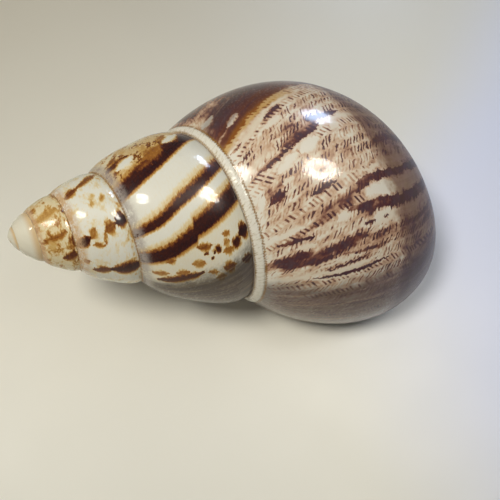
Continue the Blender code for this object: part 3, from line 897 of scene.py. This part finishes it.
def growPillarTree(form):
    tree, given = newTree("growPillar", form.inputs)
    tube = node(tree, "GeometryNodeMeshCylinder", {
        "Vertices": given["Sides"], "Side Segments": given["Rings"],
        "Fill Segments": form.endRings, "Radius": 1.0, "Depth": 1.0})
    x, y, z = positions(tree)
    down = limit(0.5 - z)
    depth = mixNumber(given["Top depth"], given["Foot depth"], down)
    radius = mixNumber(given["Top radius"], given["Foot radius"], calc("POWER", down, form.widening))
    toFoot = limit((given["Foot depth"] - depth) / form.footRound)
    rounded = calc("SQRT", toFoot * (2.0 - toFoot)) * (1.0 - form.footFlat) + form.footFlat
    twist = depth * (2 * pi * form.foldTurns / form.foldLength)
    fold = calc("COSINE", calc("ARCTAN2", y, x) + twist) * given["Fold"] * down
    reach = radius * rounded + fold * rounded

    top, foot = form.inputs["Top depth"], form.inputs["Foot depth"]
    wind = depth * (2 * pi * form.windTurns / (foot - top)) + form.windStart
    straighter = form.straighter * ramp(depth, foot - form.straighterFrom, foot)
    aside = form.windRadius * down * (1.0 - straighter)
    geometry = remember(tube, **form.paintedAs)
    x, y = x * reach + calc("COSINE", wind) * aside, y * reach - calc("SINE", wind) * aside
    geometry = move(geometry, position=vector(tree, x * mm, y * mm, depth * -mm))
    finishTree(geometry, given["Material"])
    return tree


print("growing the pillar inside")
pillar = makePiece("columella", growPillarTree(pillarForm), pillarForm, shellPaint)
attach(pillar, "root")
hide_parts("shell")


# Table, camera and lamps
studio = Settings(
    cameraPlace=(-22.194, -58.777, 195.36), lens=45.477, sensor=36.0, nearest=0.01,
    cameraRight=(0.953913, -0.297148, 0.041876), cameraUp=(0.2712, 0.913396, 0.303577),
    tableHalf=2000,
    # the table's colours paint light: a bluish pool of window light at the right, and shade at the back
    tableLeft=(0.82, 0.80, 0.69), tableRight=(0.78, 0.825, 1.0), tableTurn=(15, 85), tableSkew=1.2,
    tableFar=(0.61, 0.57, 0.46), tableFarTurn=(-10, 140), cloudScale=9.0, cloudReach=60.0,
    ceiling=(0.095, 0.092, 0.088), walls=(0.15, 0.147, 0.143), wallsUpTo=0.5,
    # name, what it lights, towards the lamp, distance, width, watts, colour
    # soft lamps don't gleam, and gleams don't light
    lamps=[
        ("gleamRingOverMouth", (18.7, -3.8, 57.6), (0.287, -0.035, 0.957), 400, 145, 2.6,
         (1.0, 0.95, 0.84)),
        ("gleamRingOverSpire", (-24.0, 4.0, 55.0), (-0.46, 0.12, 0.88), 400, 110, 1.2,
         (1.0, 0.95, 0.84)),
        ("gleamOfWindow", (23.1, 9.7, 57.2), (0.50, 0.73, 0.47), 700, 200, 4.0, (0.60, 0.74, 1.0)),
        ("softLampAbove", (0.0, 0.0, 30.0), (-0.33, 0.02, 0.94), 500, 130, 1.65, (1.0, 0.965, 0.9)),
        ("softLampInFront", (0.0, -30.0, 0.0), (-0.05, -0.42, 0.9), 560, 320, 0.1,
         (1.0, 0.965, 0.9)),
        ("softLampRight", (80.0, 0.0, 0.0), (0.7, 0.1, 0.7), 560, 300, 0.45, (0.62, 0.76, 1.0)),
    ],
    ringMiddle=0.45, ringEdge=(-0.15, 0.1), ringGain=0.8,
)


def makeCamera(look):
    right, up = Vector(look.cameraRight).normalized(), Vector(look.cameraUp).normalized()
    back = right.cross(up).normalized()
    up = back.cross(right)
    data = bpy.data.cameras.new("camera")
    data.lens = look.lens
    data.sensor_width = look.sensor
    data.clip_start = look.nearest
    camera = addObject("camera", data)
    turned = Matrix((right, up, back)).transposed().to_4x4()
    camera.matrix_world = Matrix.Translation(Vector(look.cameraPlace) * mm) @ turned
    bpy.context.scene.camera = camera


# a matt table top: yellowish at the left, with a painted pool of bluish window light towards the right,
# and painted shade that makes it darker at the back
def tableMaterial(look):
    material, tree, surface = newMaterial("paleTableTop")
    place = node(tree, "ShaderNodeTexCoord", output="Object")
    right, far = (part * (1 / mm) for part in parts(place)[:2])
    cloud = noise(place, look.cloudScale) * look.cloudReach - look.cloudReach / 2
    # painted shade, darker towards the back
    colour = mixColour(look.tableLeft, look.tableFar, ramp(far + cloud, *look.tableFarTurn))
    # a painted pool of bluish window light towards the right, with a cloudy edge
    skewed = right - greater(far, 0.0) * look.tableSkew + cloud * 0.6
    colour = mixColour(colour, look.tableRight, ramp(skewed, *look.tableTurn))
    plug(tree, surface.inputs["Base Color"], colour)
    plug(tree, surface.inputs["Roughness"], noise(place, 60.0) * 0.1 + 0.45)
    bump(surface, noise(place, 1500.0), 0.08, 0.05)
    return material


def makeTable(look):
    half = look.tableHalf * mm
    mesh = bpy.data.meshes.new("table")
    corners = [(-half, -half, 0), (half, -half, 0), (half, half, 0), (-half, half, 0)]
    mesh.from_pydata(corners, [], [(0, 1, 2, 3)])
    mesh.materials.append(tableMaterial(look))
    table = addObject("table", mesh)


# a ring lamp is dimmer in its middle, and shines as strongly on the whole
def makeRing(data, look):
    data.use_nodes = True
    tree = data.node_tree
    place = node(tree, "ShaderNodeNewGeometry", output="Parametric")
    x, y = parts(vectors("SUBTRACT", place, (0.5, 0.5, 0.0)))[:2]
    fromMiddle = vectors("LENGTH", vector(tree, x, y), output="Value") * 2.0
    middle, gain = look.ringMiddle, look.ringGain
    inner, outer = look.ringEdge
    ring = ramp(fromMiddle, middle + inner, middle + outer)
    strength = (ring * gain + (1 - gain)) / (1 - gain * middle ** 2)
    plug(tree, tree.nodes["Emission"].inputs["Strength"], strength)


def makeLamps(look):
    for name, lit, towards, distance, width, watts, colour in look.lamps:
        data = bpy.data.lights.new(name, "AREA")
        data.shape = "DISK"
        data.size = width * mm
        data.energy = watts
        data.color = colour
        if "Ring" in name:
            makeRing(data, look)
        lamp = addObject(name, data)
        lamp.visible_glossy = not name.startswith("soft")
        lamp.visible_diffuse = not name.startswith("gleam")
        away = Vector(towards).normalized()
        lamp.location = (Vector(lit) + away * distance) * mm
        lamp.rotation_euler = (-away).to_track_quat("-Z", "Y").to_euler()


# the room around is grey, and its walls are lighter than its ceiling
def makeRoom(look):
    world = bpy.data.worlds.new("room")
    world.use_nodes = True
    tree = world.node_tree
    upwards = parts(node(tree, "ShaderNodeTexCoord", output="Generated"))[2]
    glow = mixColour(look.walls, look.ceiling, ramp(upwards, 0.0, look.wallsUpTo))
    plug(tree, tree.nodes["Background"].inputs["Color"], glow)
    bpy.context.scene.world = world
    bpy.context.scene.view_settings.view_transform = "Standard"


print("setting the table, the camera, the lamps and the room")
makeCamera(studio)
makeTable(studio)
makeLamps(studio)
makeRoom(studio)
